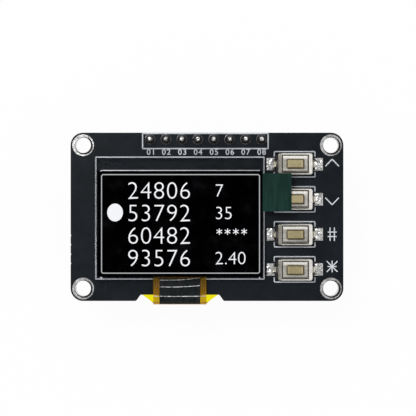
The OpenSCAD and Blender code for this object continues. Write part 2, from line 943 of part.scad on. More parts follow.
module diode_leads() {
    color([0.8, 0.8, 0.78])
        on_back(diode_place, 0)
            for (turn = [-90, 90])
                rotate(turn) gull_wing(diode_len / 2, diode_lead_w, diode_h, diode_reach);
}

// --- nodes ---

circuit_board();
mounting_eyelets();
header_strip();
header_solder();
for (i = [1:pin_count])
    header_pin(pin_x[i - 1]);
panel_tape();
rear_glass();
front_glass();
polarizer();
driver_chip();
flex_cable();
flex_cover();
flex_solder();
protective_film();
pull_tab();
for (i = [0:len(KEYS) - 1]) {
    key_base(i);
    key_dome(i);
    key_plunger(i);
    key_cover(i);
    key_terminals(i);
    key_solder(i);
}
regulator_body();
regulator_leads();
capacitor_bodies();
capacitor_ends();
resistor_bodies();
resistor_ends();
diode_body();
diode_leads();
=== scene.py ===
# %% [markdown]
# # A small OLED module with four keys
#
# The solid parts come packed from the CAD model, in one frame and in metres. This lesson dresses them: it
# prints the white ink, lights the screen, lays solder on the pads and gives every surface its finish. It
# never moves a CAD part.

import json
import math

import bmesh
import bpy
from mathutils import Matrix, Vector
from mathutils.bvhtree import BVHTree

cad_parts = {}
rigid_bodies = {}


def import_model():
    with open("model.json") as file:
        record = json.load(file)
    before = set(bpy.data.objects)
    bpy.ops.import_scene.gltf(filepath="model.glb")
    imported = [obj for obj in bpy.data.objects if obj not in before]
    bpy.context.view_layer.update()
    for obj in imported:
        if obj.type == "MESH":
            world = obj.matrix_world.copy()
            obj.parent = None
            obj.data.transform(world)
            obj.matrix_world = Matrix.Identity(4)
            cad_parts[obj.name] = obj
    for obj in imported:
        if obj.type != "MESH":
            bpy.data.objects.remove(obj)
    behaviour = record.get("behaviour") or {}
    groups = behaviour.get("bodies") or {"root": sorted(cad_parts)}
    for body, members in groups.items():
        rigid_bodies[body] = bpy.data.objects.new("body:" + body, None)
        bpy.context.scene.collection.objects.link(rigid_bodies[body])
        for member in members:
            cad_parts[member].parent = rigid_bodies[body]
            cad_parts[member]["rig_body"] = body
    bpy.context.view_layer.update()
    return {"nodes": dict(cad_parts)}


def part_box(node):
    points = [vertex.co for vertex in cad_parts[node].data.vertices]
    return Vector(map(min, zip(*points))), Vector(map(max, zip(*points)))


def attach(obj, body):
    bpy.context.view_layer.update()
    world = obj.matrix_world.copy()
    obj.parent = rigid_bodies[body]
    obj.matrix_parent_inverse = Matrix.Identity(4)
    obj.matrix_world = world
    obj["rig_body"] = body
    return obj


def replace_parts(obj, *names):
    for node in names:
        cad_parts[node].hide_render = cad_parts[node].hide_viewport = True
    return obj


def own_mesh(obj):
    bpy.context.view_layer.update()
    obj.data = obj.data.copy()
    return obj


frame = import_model()
nodes = frame["nodes"]
MM = 0.001
BOARD_BODY = "board_assembly"
KEYS = ("up", "down", "hash", "star")

# %% [markdown]
# ## Where things are
#
# Ink, light and solder are placed from the CAD parts, whose boxes `span` gives in millimetres.


# %% Measure the parts
def span(node):
    """Lowest and highest corner of a CAD node, in millimetres."""
    low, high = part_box(node)
    return low / MM, high / MM


def middle_of(node):
    low, high = span(node)
    return (low + high) / 2


EYELET_R = 1.75
PLATE_H = 1.75  # a key cover's plate stands this far over the board
board_high = span("circuit_board")[1]
glass_low, glass_high = span("front_glass")
film_low, film_high = span("polarizer")
pins = [middle_of(f"header_pin_{i}") for i in range(1, 9)]
key_centres = [middle_of(f"key_{key}_cover") for key in KEYS]
FACE = board_high.z
SCREEN = film_high.z
hole = span("mounting_eyelets")[1] - Vector((EYELET_R, EYELET_R, 0))
PLATE_Z = FACE + PLATE_H
print("board face at z =", round(FACE, 3), "screen at z =", round(SCREEN, 3))

# %% [markdown]
# ## Shader arithmetic that reads like arithmetic
#
# `Signal` wraps one output socket, so that `1 - mask * 0.3` adds the Math nodes itself. A `Workbench` holds
# a node tree, and its `node` method makes any node. It applies the settings first, because they decide which
# sockets exist, and then feeds the sockets. `Finish` is the workbench of one material.


# %% A signal: one socket that can be added and multiplied
class Signal:
    """An output socket of a node tree, ready for arithmetic."""

    def __init__(self, bench, socket):
        self.bench = bench
        self.socket = socket

    def __add__(self, other):
        return self.bench.math("ADD", self, other)

    __radd__ = __add__

    def __sub__(self, other):
        return self.bench.math("SUBTRACT", self, other)

    def __rsub__(self, other):
        return self.bench.math("SUBTRACT", other, self)

    def __mul__(self, other):
        return self.bench.math("MULTIPLY", self, other)

    def __abs__(self):
        return self.bench.math("ABSOLUTE", self)

    def wave(self, length):
        """A sine of the signal that repeats every length mm."""
        return self.bench.math("SINE", self * (2 * math.pi / (length * MM)))

    def clamped(self):
        return self.bench.math("ADD", self, 0.0, clamp=True)

    def ramp(self, low, high, at_low=0.0, at_high=1.0):
        """The signal taken from low..high to at_low..at_high, with soft ends."""
        soft = {"interpolation_type": "SMOOTHSTEP"}
        return self.bench.node("ShaderNodeMapRange", self, low, high, at_low, at_high, settings=soft)


# %% A workbench: a node tree that is built node by node
class Workbench:
    """What all node trees have in common."""

    def node(self, kind, *terms, settings=None, output=0, **values):
        """A new node. Terms go to its first sockets, values to the sockets named so, with _ for a space."""
        made = self.tree.nodes.new(kind)
        for name, value in (settings or {}).items():
            setattr(made, name, value)
        for place, value in enumerate(terms):
            self.feed(made.inputs[place], value)
        for name, value in values.items():
            self.feed(made.inputs[name.replace("_", " ")], value)
        return Signal(self, made.outputs[output])

    def feed(self, socket, value):
        if isinstance(value, Signal):
            self.tree.links.new(value.socket, socket)
        elif socket.type == "RGBA" and len(value) == 3:
            socket.default_value = (*value, 1.0)
        else:
            socket.default_value = value

    def math(self, operation, *terms, clamp=False):
        return self.node("ShaderNodeMath", *terms, settings={"operation": operation, "use_clamp": clamp})

    def part(self, vector, axis):
        """One of the three numbers in a vector."""
        return self.node("ShaderNodeSeparateXYZ", vector, output=axis)

    def noise(self, size, detail=3.0, vector=None, roughness=0.5, output=0):
        """Clouds about size mm across."""
        fine = {"Scale": 1 / (size * MM), "Detail": detail, "Roughness": roughness}
        return self.node("ShaderNodeTexNoise", vector or self.place(), output=output, **fine)

    def cells(self, size, feature):
        """Cells about size mm across: the distance to a cell's centre or edge."""
        values = {"Vector": self.place(), "Scale": 1 / (size * MM)}
        return self.node("ShaderNodeTexVoronoi", settings={"feature": feature}, output="Distance", **values)


# %% A finish: a material and its tree
class Finish(Workbench):
    """The node tree of a material or of the world."""

    def __init__(self, name, library=bpy.data.materials, last="ShaderNodeOutputMaterial"):
        self.made = library.new(name)
        self.made.use_nodes = True
        self.tree = self.made.node_tree
        self.tree.nodes.clear()
        self.end = self.tree.nodes.new(last)

    def place(self, output="Object"):
        return self.node("ShaderNodeTexCoord", output=output)

    def axis(self, name, output="Object"):
        return self.part(self.place(output), name)

    def mm(self, name):
        """How far along an axis a point lies, in millimetres."""
        return self.axis(name) * (1 / MM)

    def stretched(self, scale):
        """Coordinates stretched before a texture reads them, for a directed grain."""
        return self.node("ShaderNodeMapping", self.place(), Scale=scale)

    def blend(self, mask, first, second):
        """first where mask is 0, second where it is 1."""
        colours = {"data_type": "RGBA"}
        return self.node("ShaderNodeMix", mask, settings=colours, output="Result", A=first, B=second)

    def bump(self, height, depth, strength=1.0):
        """Relief depth mm deep where the height goes from 0 to 1."""
        return self.node("ShaderNodeBump", Height=height, Distance=depth * MM, Strength=strength)

    def principled(self, **values):
        return self.node("ShaderNodeBsdfPrincipled", **values)

    def finished(self, **values):
        """The material, when the main shader is all it needs."""
        return self.show(self.principled(**values))

    def clear(self, tint=(1.0, 1.0, 1.0)):
        """Lets the light through and colours it."""
        return self.node("ShaderNodeBsdfTransparent", tint)

    def mixed(self, share, first, second):
        """Two shaders in one; share is how much of it the second is."""
        return self.node("ShaderNodeMixShader", share, first, second)

    def show(self, shader):
        self.feed(self.end.inputs["Surface"], shader)
        print("made", self.made.name)
        return self.made


def tone(red, green, blue):
    """A colour given as it looks on a screen, 0 to 255, as the linear values that Blender mixes."""
    def linear(level):
        c = level / 255
        return c / 12.92 if c <= 0.04045 else ((c + 0.055) / 1.055) ** 2.4
    return tuple(linear(level) for level in (red, green, blue))


print("a screen grey of 128 is", round(tone(128, 128, 128)[0], 3), "in linear light")

# %% [markdown]
# ## Finish of the board
#
# Black solder mask is a satin lacquer over copper and woven glass. The copper under it stands up a little,
# the weave prints through, and the lacquer pools. The cut edges show olive glass laminate in layers. One
# material does both, because a surface whose normal points sideways is a cut edge.


# %% Solder mask and laminate
def solder_mask_finish(name, dark, light):
    f = Finish(name)
    edge = 1 - abs(f.axis("Z", "Normal")).ramp(0.4, 0.7)
    cloud = f.noise(5, detail=4.0)
    lacquer = f.blend(cloud.ramp(0.35, 0.65), dark, light)
    layers = f.axis("Z").wave(0.2).ramp(-1, 1)
    laminate = f.blend(layers, tone(40, 38, 24), tone(74, 70, 46))
    weave = f.axis("X").wave(0.42) * f.axis("Y").wave(0.42)
    planes = f.cells(4, "DISTANCE_TO_EDGE").ramp(0.02, 0.05)
    height = weave * 0.12 + planes * 0.6 + f.noise(0.4) * 0.2
    return f.finished(
        Base_Color=f.blend(edge, lacquer, laminate),
        Roughness=f.noise(1.1).ramp(0.3, 0.7, 0.34, 0.48) + edge * 0.3,
        Specular_IOR_Level=0.14,
        Normal=f.bump(height, 0.006),
    )


solder_mask = solder_mask_finish("black_solder_mask", tone(13, 18, 24), tone(20, 26, 32))
mask_over_copper = solder_mask_finish("mask_over_copper", tone(24, 30, 34), tone(33, 39, 43))

# %% [markdown]
# ## Metals
#
# The metals share a recipe: colour and roughness wander, and the skin is a little lumpy. They differ in
# tone, in the size of the grain and in how far rolling has stretched it, so those are the arguments.


# %% Metals
def metal_finish(name, dull, bright, rough, grain, stretch=(1, 1, 1), lumps=0.0, darkening=None):
    """A metal whose colour goes from dull to bright; rough is its lowest and highest roughness.
    The last argument takes the finish and gives a mask of where the metal's colour is painted darker."""
    f = Finish(name)
    fine = f.noise(grain, detail=5.0, vector=f.stretched(stretch))
    broad = f.noise(grain * 5, detail=2.0)
    facets = f.cells(1, "SMOOTH_F1")
    colour = f.blend((broad * 0.6 + fine * 0.4).ramp(0.3, 0.7), dull, bright)
    roughness = fine.ramp(0.25, 0.75, *rough)
    if darkening:
        dark = darkening(f)
        colour = f.blend(dark, colour, tone(44, 42, 40))
        roughness = roughness + dark * 0.2
    return f.finished(
        Base_Color=colour,
        Metallic=1.0,
        Roughness=roughness,
        Normal=f.bump(fine * 0.15 + facets * lumps, 0.012),
    )


def bore_stain(f):
    """Painted shade: a ragged dark ring round the bore, wider toward the lower right, for the shadow and dark
    reflection at the hole's rim; and random dark specks.
    """
    x, y = f.mm("X"), f.mm("Y")
    off_x = abs(x) - hole.x - f.math("SIGN", x) * 0.13
    off_y = abs(y) - hole.y + f.math("SIGN", y) * 0.08
    near = f.math("POWER", off_x * off_x + off_y * off_y, 0.5)
    # painted shade at the hole's rim, made ragged by noise
    ring = 1 - (near + f.noise(0.28, detail=4.0) * 0.36).ramp(1.57, 1.65)
    specks = f.noise(0.3).ramp(0.64, 0.7) * 0.7
    flat = abs(f.axis("Z", "Normal")).ramp(0.4, 0.6)
    return (flat * (ring + specks)).clamped()


tin = metal_finish("bright_tin", (0.6, 0.6, 0.59), (0.93, 0.93, 0.92), (0.2, 0.34), 0.35, lumps=1.2)
eyelet_tin = metal_finish(
    "eyelet_tin", (0.42, 0.42, 0.42), (0.86, 0.86, 0.86), (0.24, 0.42), 0.25, lumps=4.0, darkening=bore_stain
)
pin_metal = metal_finish("pin_metal", (0.62, 0.57, 0.42), (0.84, 0.8, 0.66), (0.22, 0.36), 0.4, (1, 1, 0.1))
brass = metal_finish("tinned_brass", (0.62, 0.58, 0.42), (0.86, 0.82, 0.68), (0.25, 0.4), 0.3)
spring_steel = metal_finish("spring_steel", (0.5, 0.48, 0.42), (0.75, 0.73, 0.64), (0.2, 0.3), 0.3)

# %% [markdown]
# Frozen solder is bright and faceted. Over a header joint the flanks are painted dark, as a painted
# reflection of the dark surroundings in a shiny cone, and only the foot and the nipped-off tip shine, so
# there the tone follows the height above the board.


# %% Solder
def solder_finish(name, flank_shade=0.0):
    """Frozen solder; the second argument is how far its flanks are painted dark, as a painted reflection,
    between the foot and the tip.
    """
    f = Finish(name)
    fine = f.noise(0.25, detail=5.0)
    facets = f.cells(0.55, "SMOOTH_F1")
    height = f.mm("Z") + fine * 0.3 - 0.15
    flank = height.ramp(FACE - 0.02, FACE + 0.1, 0.45, 1.0) * (1 - height.ramp(FACE + 0.95, FACE + 1.2))
    # painted dark reflection on the flanks of the joint
    dark = (flank * flank_shade).clamped()
    cracks = (1 - f.cells(1.1, "DISTANCE_TO_EDGE").ramp(0.015, 0.06)) * f.noise(0.7).ramp(0.45, 0.6)
    metal = f.blend(fine.ramp(0.3, 0.7), (0.44, 0.44, 0.43), (0.84, 0.84, 0.83))
    return f.finished(
        Base_Color=f.blend((dark + cracks * 0.7).clamped(), metal, tone(30, 31, 30)),
        Metallic=1 - dark * 0.8,
        Roughness=fine.ramp(0.3, 0.7, 0.22, 0.42),
        Normal=f.bump(facets * 1.2 + fine * 0.6, 0.025),
    )


solder = solder_finish("solder")
dark_flank_solder = solder_finish("dark_flank_solder", flank_shade=1.0)

# %% [markdown]
# ## Mouldings, ceramics and ink
#
# Plastic, ceramic, glaze and ink are all two close tones in speckles with a fine bump, so they share one
# recipe too.


# %% Mouldings, ceramics and ink
def moulded_finish(name, dark, light, rough, speckle, relief=0.5, coat=0.0):
    """Two close tones, speckled, with a dry skin; speckle is the size of the spots."""
    f = Finish(name)
    spots = f.noise(speckle, detail=4.0, roughness=0.7)
    drift = f.noise(speckle * 8, detail=2.0)
    return f.finished(
        Base_Color=f.blend((spots * 0.5 + drift * 0.5).ramp(0.35, 0.65), dark, light),
        Roughness=spots.ramp(0.2, 0.8, *rough),
        Coat_Weight=coat,
        Coat_Roughness=0.25,
        Normal=f.bump(spots, 0.01, relief),
    )


nylon = moulded_finish("black_nylon", tone(20, 20, 20), tone(36, 35, 34), (0.45, 0.65), 0.5)
package = moulded_finish("epoxy_package", tone(22, 22, 23), tone(42, 42, 43), (0.55, 0.75), 0.3)
capacitor = moulded_finish("capacitor_ceramic", tone(128, 104, 76), tone(158, 132, 100), (0.4, 0.55), 0.3)
resistor = moulded_finish("resistor_glaze", tone(16, 17, 20), tone(28, 29, 33), (0.2, 0.35), 0.4, 0.2, 0.4)
foam = moulded_finish("foam_tape", tone(196, 196, 190), tone(226, 226, 222), (0.8, 0.95), 0.2, 1.0)
silicon = moulded_finish("driver_silicon", tone(60, 60, 66), tone(84, 84, 92), (0.14, 0.22), 0.8, 0.1, 0.5)
ink = moulded_finish("white_ink", tone(178, 182, 190), tone(214, 217, 224), (0.5, 0.7), 0.5, 0.5)
sign_ink = moulded_finish("sign_ink", tone(208, 211, 217), tone(236, 238, 243), (0.5, 0.7), 0.5, 0.5)

# %% [markdown]
# The keys stand in a row, so a finish can ask where a point lies in its own key: the WRAP mode of the Math
# node repeats the distance along the row once per key. `rim` says how far inside a rectangle about the
# key's middle the point is, which places the painted shade in the cover's groove and on the button's edge.

# %% Where a point lies in its key
KEY_PITCH = key_centres[0].y - key_centres[1].y
STEP_HALF = (2.025, 1.335)  # half the length and width of a cover's raised step
BUTTON_HALF = (1.33, 0.715)


def key_place(f):
    """A point's place in its own key: mm along it and mm across, from its middle."""
    along = f.mm("X") - key_centres[0].x
    across = f.math("WRAP", f.mm("Y") - key_centres[1].y, KEY_PITCH / 2, -KEY_PITCH / 2)
    return along, across


def rim(f, along, across, half):
    """How far inside a rectangle a point lies, in mm."""
    return f.math("MINIMUM", half[0] - abs(along), half[1] - abs(across))


print("keys are", round(KEY_PITCH, 2), "mm apart")

# %% Key covers
f = Finish("stamped_steel")
along, across = key_place(f)
spots = f.noise(0.32, detail=5.0, roughness=0.7)
drift = f.noise(1.5)
# Painted light on the cover: the groove round the raised step and a line along the step's lower and right
# edges are painted dark brown as shade, and the plate and the step's upper side are painted lighter as
# highlights. The pits at the left end are dark mottling of the steel.
on_step = (f.mm("Z") - PLATE_Z).ramp(0.17, 0.19)
to_edge = rim(f, along, across, STEP_HALF)
groove_shade = 1 - abs(to_edge + 0.05).ramp(0.07, 0.12)
to_step_shade = rim(f, along + 0.04, across - 0.14, STEP_HALF) + spots * 0.1 - 0.05
step_edge_shade = on_step * (1 - to_step_shade.ramp(0.06, 0.16))
left_end = 1 - along.ramp(-2.35, -1.95)
pits = left_end * spots.ramp(0.55, 0.62) * 0.75
plate_highlight = (1 - on_step) * (0.8 - left_end)
step_highlight = on_step * (across.ramp(0.75, 1.0) * 0.8 + 0.1)
level = (spots * 0.5 + drift * 0.5).ramp(0.3, 0.7) * 0.45 + plate_highlight + step_highlight
# painted shade in the groove and along the step's edge, with the dark pits
shade_and_pits = (groove_shade * 0.97 + step_edge_shade * 0.9 + pits).clamped()
steel = f.blend(level.clamped(), (0.33, 0.315, 0.275), (0.95, 0.93, 0.87))
stamped_steel = f.finished(
    Base_Color=f.blend(shade_and_pits, steel, tone(40, 30, 22)),
    Metallic=1 - shade_and_pits,
    Roughness=spots.ramp(0.3, 0.7, 0.36, 0.5),
    Normal=f.bump(spots * 0.2, 0.012),
)

# %% Buttons
f = Finish("tan_button")
along, across = key_place(f)
spots = f.noise(0.6, detail=4.0, roughness=0.7)
drift = f.noise(4, detail=2.0)
flat = f.axis("Z", "Normal").ramp(0.3, 0.6)
# Painted light on the button: a dark line along its edges, thickest at the right and bottom, is painted
# shadow, a pale strip at the left end is a painted highlight, and a pale band runs near the right end.
inside = rim(f, along + 0.05, across - 0.03, BUTTON_HALF) + spots * 0.06 - 0.03
line = flat * (1 - inside.ramp(0.11, 0.18))
pale = flat * (1 - abs(along - 1.02).ramp(0.06, 0.14)) * 0.5 + (1 - along.ramp(-1.18, -1.08)) * 0.5
tan = f.blend((spots * 0.5 + drift * 0.5).ramp(0.35, 0.65), tone(144, 132, 92), tone(166, 154, 114))
highlit_tan = f.blend(pale, tan, tone(198, 178, 142))
button = f.finished(
    Base_Color=f.blend(line * 0.9, highlit_tan, tone(48, 34, 18)),
    Roughness=spots.ramp(0.2, 0.8, 0.42, 0.6),
    Normal=f.bump(spots, 0.01, 0.3),
)

# %% [markdown]
# ## Glass and films
#
# The glass is thin and flat, so a Transparent shader shows what is behind it, with a trace of gloss where
# it has been touched. Only its ground edges have a look of their own. The amber cable uses a coloured
# Transparent shader too, so two layers of it look darker than one.


# %% Glass and clear film
def pane_finish(name, tint, edge_dark, edge_light, solid):
    """A see-through sheet, a little smeared; solid is how far its cut edges hide what is behind."""
    f = Finish(name)
    cloud = f.noise(3)
    cut = 1 - abs(f.axis("Z", "Normal")).ramp(0.4, 0.6)
    own = f.principled(
        Base_Color=f.blend(f.noise(0.6).ramp(0.3, 0.7), edge_dark, edge_light),
        Roughness=cloud.ramp(0.3, 0.7, 0.1, 0.25),
    )
    return f.show(f.mixed(cut * solid + cloud.ramp(0.45, 0.75) * 0.012, f.clear(tint), own))


glass = pane_finish("display_glass", (0.995, 0.995, 0.997), tone(64, 80, 80), tone(130, 148, 146), 0.55)
clear_film = pane_finish("clear_film", (0.992, 0.992, 0.995), tone(60, 62, 66), tone(104, 106, 110), 0.85)

# %% Amber cable film
# Painted light on the amber film: it is painted darker from the fold toward its joints, as shade where the
# dark board lies behind it, and the round of the fold is painted bright as a highlight.
FOLD = (-13.2 * MM, -10.4 * MM)  # the cable darkens between these toward its joints
LIP = (-13.95 * MM, -13.7 * MM)  # the round of the fold, bright from the front
f = Finish("amber_polyimide")
stripes = f.axis("X").wave(0.31).ramp(-0.2, 0.2)  # the copper lines inside
cloud = f.noise(2)
toward_fold = 1 - f.axis("Y").ramp(*FOLD)
lip = 1 - f.axis("Y").ramp(*LIP)
brown = f.blend(toward_fold, tone(104, 72, 12), tone(176, 126, 24))
brown = f.blend(lip, brown, tone(226, 158, 40))
own = f.principled(
    Base_Color=f.blend((stripes * 0.4 + cloud * 0.6).ramp(0.2, 1.2), brown, tone(188, 140, 44)),
    Roughness=cloud.ramp(0.3, 0.7, 0.22, 0.38),
    Specular_IOR_Level=0.3,
    Normal=f.bump(stripes * 0.3 + cloud, 0.008),
)
neck = f.axis("Z").ramp(0.2 * MM, 0.7 * MM)
factor = (neck * 0.4 + lip * 0.5 + cloud * 0.06 + 0.03).clamped()
polyimide = f.show(f.mixed(factor, f.clear((0.985, 0.94, 0.1)), own))

# %% Polarizer, which leaves the gloss to the clear film
f = Finish("black_polarizer")
cloud = f.noise(8)
polarizer = f.finished(
    Base_Color=f.blend(cloud.ramp(0.3, 0.7), (0.0001, 0.0001, 0.0003), (0.0003, 0.0003, 0.0006)),
    Roughness=cloud.ramp(0.3, 0.7, 0.05, 0.08),
    Specular_IOR_Level=0.005,
)


# %% Pull tab and cable cover
def dragged_film_finish(name, dark, light, streak, rough):
    """A coloured film drawn out into faint streaks; streak is how much longer they are than wide."""
    f = Finish(name)
    lines = f.noise(0.5, detail=4.0, vector=f.stretched((1, 1 / streak, 1)))
    cloud = f.noise(3)
    return f.finished(
        Base_Color=f.blend((lines * 0.7 + cloud * 0.3).ramp(0.35, 0.65), dark, light),
        Roughness=lines.ramp(0.3, 0.7, *rough),
        Specular_IOR_Level=0.07,
        Normal=f.bump(lines, 0.01, 0.5),
    )


green_film = dragged_film_finish("green_tab_film", tone(17, 42, 36), tone(26, 55, 48), 8, (0.4, 0.55))
cover_film = dragged_film_finish("cable_cover_film", tone(20, 23, 24), tone(33, 37, 37), 3, (0.35, 0.5))

# %% [markdown]
# ## Light from the display
#
# What the display shows is light. It stands in thin plates inside the protective film, and its material
# glows at strength 1, which is exactly the colour written. A fine lattice dims it between the dots.

# %% Glow of the display
DOT = 0.197  # a dot of the display with its gap


def glow_finish(name, colour):
    f = Finish(name)
    gaps = f.axis("X").wave(DOT) * f.axis("Y").wave(DOT)
    dim = 1 - abs(gaps).ramp(0.0, 0.5, 0.12, 0.0)
    return f.finished(
        Base_Color=(0.01, 0.01, 0.012),
        Roughness=0.4,
        Specular_IOR_Level=0.1,
        Emission_Color=f.blend(dim, (0.0, 0.0, 0.0), colour),
        Emission_Strength=1.0,
    )


bright_glow = glow_finish("bright_glow", tone(248, 249, 252))
soft_glow = glow_finish("soft_glow", tone(184, 185, 187))

# %% [markdown]
# ## Dress the CAD parts
#
# A CAD part whose shape is right only gets its finish, which is chosen by a piece of its name.

# %% Dress the CAD parts
WEAR = (
    ("circuit_board", solder_mask), ("mounting_eyelets", eyelet_tin), ("header_strip", nylon),
    ("header_solder", dark_flank_solder), ("header_pin_", pin_metal), ("panel_tape", foam), ("_glass", glass),
    ("polarizer", polarizer), ("driver_chip", silicon), ("flex_cable", polyimide), ("flex_cover", cover_film),
    ("protective_film", clear_film), ("pull_tab", green_film), ("_base", nylon), ("_dome", spring_steel),
    ("_plunger", button), ("_cover", stamped_steel), ("_terminals", brass), ("_solder", solder),
    ("_body", package), ("capacitor_bodies", capacitor), ("resistor_bodies", resistor), ("_leads", tin),
    ("_ends", tin),
)


def paint(piece, finish):
    piece.data.materials.clear()
    piece.data.materials.append(finish)


for name, part in nodes.items():
    paint(part, next(finish for ending, finish in WEAR if ending in name))
print("dressed", len(nodes), "CAD parts")

# %% [markdown]
# ## Lines that become ribbons
#
# Printed lines, lit lines and copper tracks are all a path with a width and a thickness. They are drawn as
# bare edges, and one Geometry Nodes tree turns any such edges into solid ribbons with rounded corners.
# `grow` puts the tree on the edges, bakes the result to a plain mesh and hands it to the frame.


# %% A geometry tree, and how a piece grows from it
class Growth(Workbench):
    """A Geometry Nodes tree with named inputs; its last step makes real meshes and paints them."""

    def __init__(self, name, **sizes):
        self.tree = bpy.data.node_groups.new(name, "GeometryNodeTree")
        self.ids = {}
        self.add_socket("Geometry", "Geometry", "OUTPUT")
        self.add_socket("Geometry", "Geometry")
        for label, value in sizes.items():
            self.add_socket(label, "Int" if isinstance(value, int) else "Float").default_value = value
        self.add_socket("finish", "Material")
        self.start = self.tree.nodes.new("NodeGroupInput")
        self.end = self.tree.nodes.new("NodeGroupOutput")

    def add_socket(self, label, kind, way="INPUT"):
        made = self.tree.interface.new_socket(label, in_out=way, socket_type="NodeSocket" + kind)
        self.ids[label] = made.identifier
        return made

    def given(self, label):
        return Signal(self, self.start.outputs[label])

    def place(self):
        return self.node("GeometryNodeInputPosition")

    def spread(self, shape):
        """The shape at every point of the start mesh."""
        copies = self.node("GeometryNodeInstanceOnPoints", self.given("Geometry"), Instance=shape)
        return self.node("GeometryNodeRealizeInstances", copies)

    def close(self, shape):
        real = self.node("GeometryNodeRealizeInstances", shape)
        painted = self.node("GeometryNodeSetMaterial", real, Material=self.given("finish"))
        self.feed(self.end.inputs[0], painted)
        return self


def new_object(name, data):
    made = bpy.data.objects.new(name, data)
    bpy.context.scene.collection.objects.link(made)
    return made


def new_mesh(name, points, edges=(), faces=()):
    """A mesh whose points are given in millimetres."""
    mesh = bpy.data.meshes.new(name)
    mesh.from_pydata([Vector(p) * MM for p in points], edges, faces)
    return mesh


def baked(piece):
    """The piece's shape after its modifiers, as a plain mesh."""
    graph = bpy.context.evaluated_depsgraph_get()
    return bpy.data.meshes.new_from_object(piece.evaluated_get(graph), depsgraph=graph)


def hand_over(piece, body=BOARD_BODY):
    """The piece rides with a CAD body."""
    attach(piece, body)
    return piece


def show_bmesh(name, shape, finish, body=BOARD_BODY):
    mesh = bpy.data.meshes.new(name)
    shape.to_mesh(mesh)
    shape.free()
    piece = new_object(name, mesh)
    paint(piece, finish)
    print(name, "has", len(mesh.polygons), "faces")
    return hand_over(piece, body)


def grow(name, tree, start, finish, slot, **sizes):
    """A piece grown from the start mesh by a geometry tree; the sizes are in mm."""
    piece = new_object(name, start)
    modifier = piece.modifiers.new(tree.tree.name, "NODES")
    modifier.node_group = tree.tree
    modifier[tree.ids["finish"]] = finish
    for label, value in sizes.items():
        modifier[tree.ids[label]] = value * MM
    piece.data = baked(piece)
    piece.modifiers.clear()
    print(name, "has", len(piece.data.polygons), "faces")
    return hand_over(piece)


# %% The ribbon tree
def ribbon_tree():
    g = Growth("ribbon_along_lines", width=0.2 * MM, height=0.02 * MM, corner=0.05 * MM, corner_steps=5)
    line = g.node("GeometryNodeMeshToCurve", g.given("Geometry"))
    round_off = {"Radius": g.given("corner"), "Count": g.given("corner_steps"), "Limit_Radius": True}
    line = g.node("GeometryNodeFilletCurve", line, settings={"mode": "POLY"}, **round_off)
    line = g.node("GeometryNodeSetCurveNormal", line, settings={"mode": "Z_UP"})
    sides = {"Width": g.given("width"), "Height": g.given("height")}
    section = g.node("GeometryNodeCurvePrimitiveQuadrilateral", settings={"mode": "RECTANGLE"}, **sides)
    return g.close(g.node("GeometryNodeCurveToMesh", line, Profile_Curve=section, Fill_Caps=True))


RIBBON = ribbon_tree()


def ribbons(name, lines, finish, slot, z=0.0, width=0.2, height=0.02, corner=0.05):
    """A piece of ribbons along lines of (x, y) or (x, y, z); a line that ends where it starts is closed."""
    points, edges = [], []
    for line in lines:
        closed = line[0] == line[-1]
        first = len(points)
        points += [(*p, z)[:3] for p in (line[:-1] if closed else line)]
        edges += [(i, i + 1) for i in range(first, len(points) - 1)]
        if closed:
            edges.append((len(points) - 1, first))
    start = new_mesh(name + "_lines", points, edges)
    return grow(name, RIBBON, start, finish, slot, width=width, height=height, corner=corner)


def box_line(low, high):
    return [(low.x, low.y), (high.x, low.y), (high.x, high.y), (low.x, high.y), (low.x, low.y)]


print("ribbon inputs:", list(RIBBON.ids))

# %% [markdown]
# ## White print on the board
#
# The ink lies on the solder mask as a film a few hundredths of a millimetre thick. Its frames are laid out
# from the CAD parts that they go round. A key's frame is open at both sides, where the solder pads are.

# %% Frames of the display and the header
INK_H = 0.02
ink_z = FACE + INK_H / 2
GLASS_GAP = Vector((0.09, 0.1, 0))  # from the glass to the middle of its frame's line
header_low = pins[0] - Vector((1.21, 1.5, 0))
header_high = Vector((pins[-1].x + 1.08, board_high.y - 0.11, 0))
display_frame = box_line(glass_low - GLASS_GAP, glass_high + GLASS_GAP)
ribbons("printed_frames", [display_frame, box_line(header_low, header_high)], ink, "solder_mask", ink_z)

# %% Frames of the keys
BRACKET = ((-3.245, 1.25), (-3.245, 2.02), (3.245, 2.02), (3.245, 1.25))  # half a frame, about the key
key_frames = []
for centre in key_centres:
    for side in (1, -1):
        key_frames.append([(centre.x + x, centre.y + side * y) for x, y in BRACKET])
ribbons("printed_key_frames", key_frames, ink, "solder_mask", ink_z, corner=0.14)

# %% [markdown]
# Beside each key stands its sign: up, down, hash or star. A sign is a few strokes about its own middle.

# %% Signs beside the keys
SIGN_X = 20.0
STROKE_LIFT = 0.003  # crossing strokes lie on one another, so they don't share a surface


def star_strokes(reach, angles):
    """Strokes through the middle: each makes two arms."""
    ends = [(reach * math.cos(math.radians(a)), reach * math.sin(math.radians(a))) for a in angles]
    return [[(-x, -y), (x, y)] for x, y in ends]


SIGNS = {  # how far the sign stands above its key's middle, and its strokes
    "up": (0.26, [[(-1.08, -0.56), (0.0, 0.56), (1.08, -0.56)]]),
    "down": (-0.31, [[(-1.08, 0.56), (0.0, -0.56), (1.08, 0.56)]]),
    "hash": (0.02, [
        [(-0.33, -1.07), (-0.33, 1.07)], [(0.36, -1.07), (0.36, 1.07)],
        [(-0.7, 0.34), (0.72, 0.34)], [(-0.7, -0.37), (0.72, -0.37)],
    ]),
    "star": (0.46, star_strokes(1.2, (45, 135)) + star_strokes(0.92, (90,)) + star_strokes(0.72, (0,))),
}
sign_lines = []
for key, centre in zip(KEYS, key_centres):
    rise, strokes = SIGNS[key]
    for i, stroke in enumerate(strokes):
        lifted = ink_z + i * STROKE_LIFT
        sign_lines.append([(SIGN_X + x, centre.y + rise + y, lifted) for x, y in stroke])
ribbons("printed_signs", sign_lines, sign_ink, "solder_mask", width=0.18)

